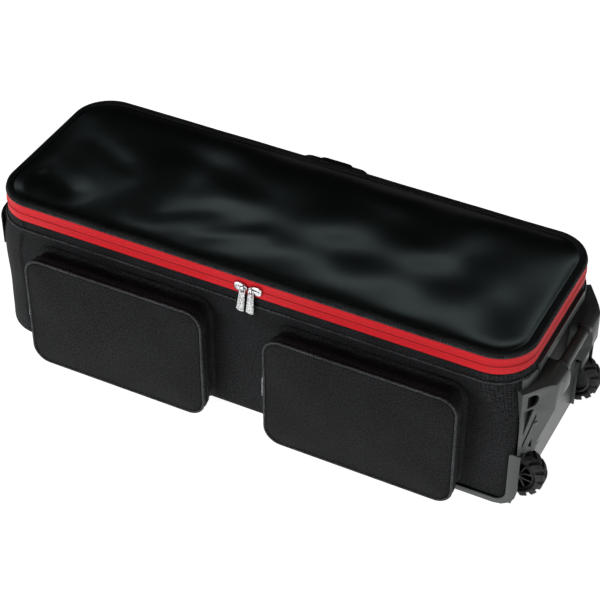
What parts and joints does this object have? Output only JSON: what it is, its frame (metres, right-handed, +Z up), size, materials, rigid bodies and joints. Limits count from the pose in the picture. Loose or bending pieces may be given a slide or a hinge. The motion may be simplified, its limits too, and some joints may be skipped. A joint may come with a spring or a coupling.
{
  "type": "drum hardware case",
  "caption": "Long padded wheeled bag for drum hardware with a zipped lid, front zip pockets, lugged wheels, a moulded end frame with a grip bar, and webbing handles.",
  "frame": {"origin": "on the floor, at the middle of the underside of the centre runner, below the centre of the tub", "axes": "+X along the case towards the wheels, +Y towards the back with the carry handle, +Z up; the pockets face -Y"},
  "size_m": [1.0855, 0.4669, 0.3183],
  "materials": {
    "fabric": "woven",
    "vinyl": "semi-gloss coated sheet",
    "webbing": "woven webbing",
    "red_tape": "woven zip tape",
    "moulded_plastic": "fine moulded grain",
    "tyre_rubber": "matt",
    "rim_plastic": "satin",
    "steel": "bright plated",
    "nylon": "natural",
    "hard_board": "plain"
  },
  "bodies": {
    "case": {"body_shell": "fabric", "floor_board": "hard_board", "body_binding": "fabric", "zip_tape_lower": "red_tape", "hinge_strip_lower": "fabric", "pocket_shell_left": "fabric", "pocket_shell_right": "fabric", "wheel_base": "moulded_plastic", "end_frame": "moulded_plastic", "grip_bar": "moulded_plastic", "frame_screw_front": "steel", "frame_screw_rear": "steel", "axle_front": "steel", "axle_rear": "steel", "base_runner_front": "moulded_plastic", "base_runner_middle": "moulded_plastic", "base_runner_rear": "moulded_plastic", "end_handle": "webbing", "rear_handle_patch_left": "webbing", "rear_handle_patch_right": "webbing"},
    "lid": {"lid_border": "fabric", "lid_panel": "vinyl", "lid_piping": "fabric", "zip_tape_upper": "red_tape", "hinge_strip_upper": "fabric"},
    "main_slider_left": {"zip_slider_left": "steel"},
    "main_slider_right": {"zip_slider_right": "steel"},
    "main_pull_left": {"zip_pull_left": "steel"},
    "main_pull_right": {"zip_pull_right": "steel"},
    "left_flap": {"pocket_flap_left": "fabric"},
    "right_flap": {"pocket_flap_right": "fabric"},
    "left_pocket_slider": {"pocket_slider_left": "steel"},
    "right_pocket_slider": {"pocket_slider_right": "steel"},
    "left_pocket_pull": {"pocket_pull_left": "steel"},
    "right_pocket_pull": {"pocket_pull_right": "steel"},
    "front_wheel": {"tyre_front": "tyre_rubber", "wheel_rim_front": "rim_plastic", "wheel_bush_front": "nylon"},
    "rear_wheel": {"tyre_rear": "tyre_rubber", "wheel_rim_rear": "rim_plastic", "wheel_bush_rear": "nylon"},
    "rear_handle": {"rear_handle_strap": "webbing", "rear_handle_wrap": "webbing"}
  },
  "joints": [
    {"name": "lid_hinge", "type": "hinge", "parent": "case", "child": "lid", "pos_m": [0, 0.1763, 0.29185], "axis": [-1, 0, 0], "range_deg": [0, 150]},
    {"name": "main_slider_left_run", "type": "slide", "parent": "case", "child": "main_slider_left", "axis": [-1, 0, 0], "range_m": [0, 0.41]},
    {"name": "main_slider_right_run", "type": "slide", "parent": "case", "child": "main_slider_right", "axis": [1, 0, 0], "range_m": [0, 0.385]},
    {"name": "main_pull_left_swing", "type": "hinge", "parent": "main_slider_left", "child": "main_pull_left", "pos_m": [0.005, -0.1822, 0.292], "axis": [-0.9925, 0, 0.1219], "range_deg": [0, 170]},
    {"name": "main_pull_right_swing", "type": "hinge", "parent": "main_slider_right", "child": "main_pull_right", "pos_m": [0.021, -0.1822, 0.292], "axis": [-0.9976, 0, 0.0698], "range_deg": [0, 170]},
    {"name": "left_flap_hinge", "type": "hinge", "parent": "case", "child": "left_flap", "pos_m": [-0.231, -0.2324, 0.11515], "axis": [1, 0, 0], "range_deg": [0, 70]},
    {"name": "right_flap_hinge", "type": "hinge", "parent": "case", "child": "right_flap", "pos_m": [0.239, -0.2324, 0.11515], "axis": [1, 0, 0], "range_deg": [0, 70]},
    {"name": "left_pocket_slider_run", "type": "slide", "parent": "case", "child": "left_pocket_slider", "axis": [0, 0, 1], "range_m": [0, 0.055]},
    {"name": "right_pocket_slider_run", "type": "slide", "parent": "case", "child": "right_pocket_slider", "axis": [0, 0, 1], "range_m": [0, 0.055]},
    {"name": "left_pocket_pull_swing", "type": "hinge", "parent": "left_pocket_slider", "child": "left_pocket_pull", "pos_m": [-0.41223, -0.2125, 0.138], "axis": [0, 1, 0], "range_deg": [0, 160]},
    {"name": "right_pocket_pull_swing", "type": "hinge", "parent": "right_pocket_slider", "child": "right_pocket_pull", "pos_m": [0.05777, -0.2125, 0.138], "axis": [0, 1, 0], "range_deg": [0, 160]},
    {"name": "front_wheel_spin", "type": "hinge", "parent": "case", "child": "front_wheel", "pos_m": [0.497, -0.132, 0.0475], "axis": [0, 1, 0], "continuous": true},
    {"name": "rear_wheel_spin", "type": "hinge", "parent": "case", "child": "rear_wheel", "pos_m": [0.497, 0.132, 0.0475], "axis": [0, 1, 0], "continuous": true},
    {"name": "rear_handle_hinge", "type": "hinge", "parent": "case", "child": "rear_handle", "pos_m": [-0.022, 0.1803, 0.248], "axis": [1, 0, 0], "range_deg": [-115, 0]}
  ]
}
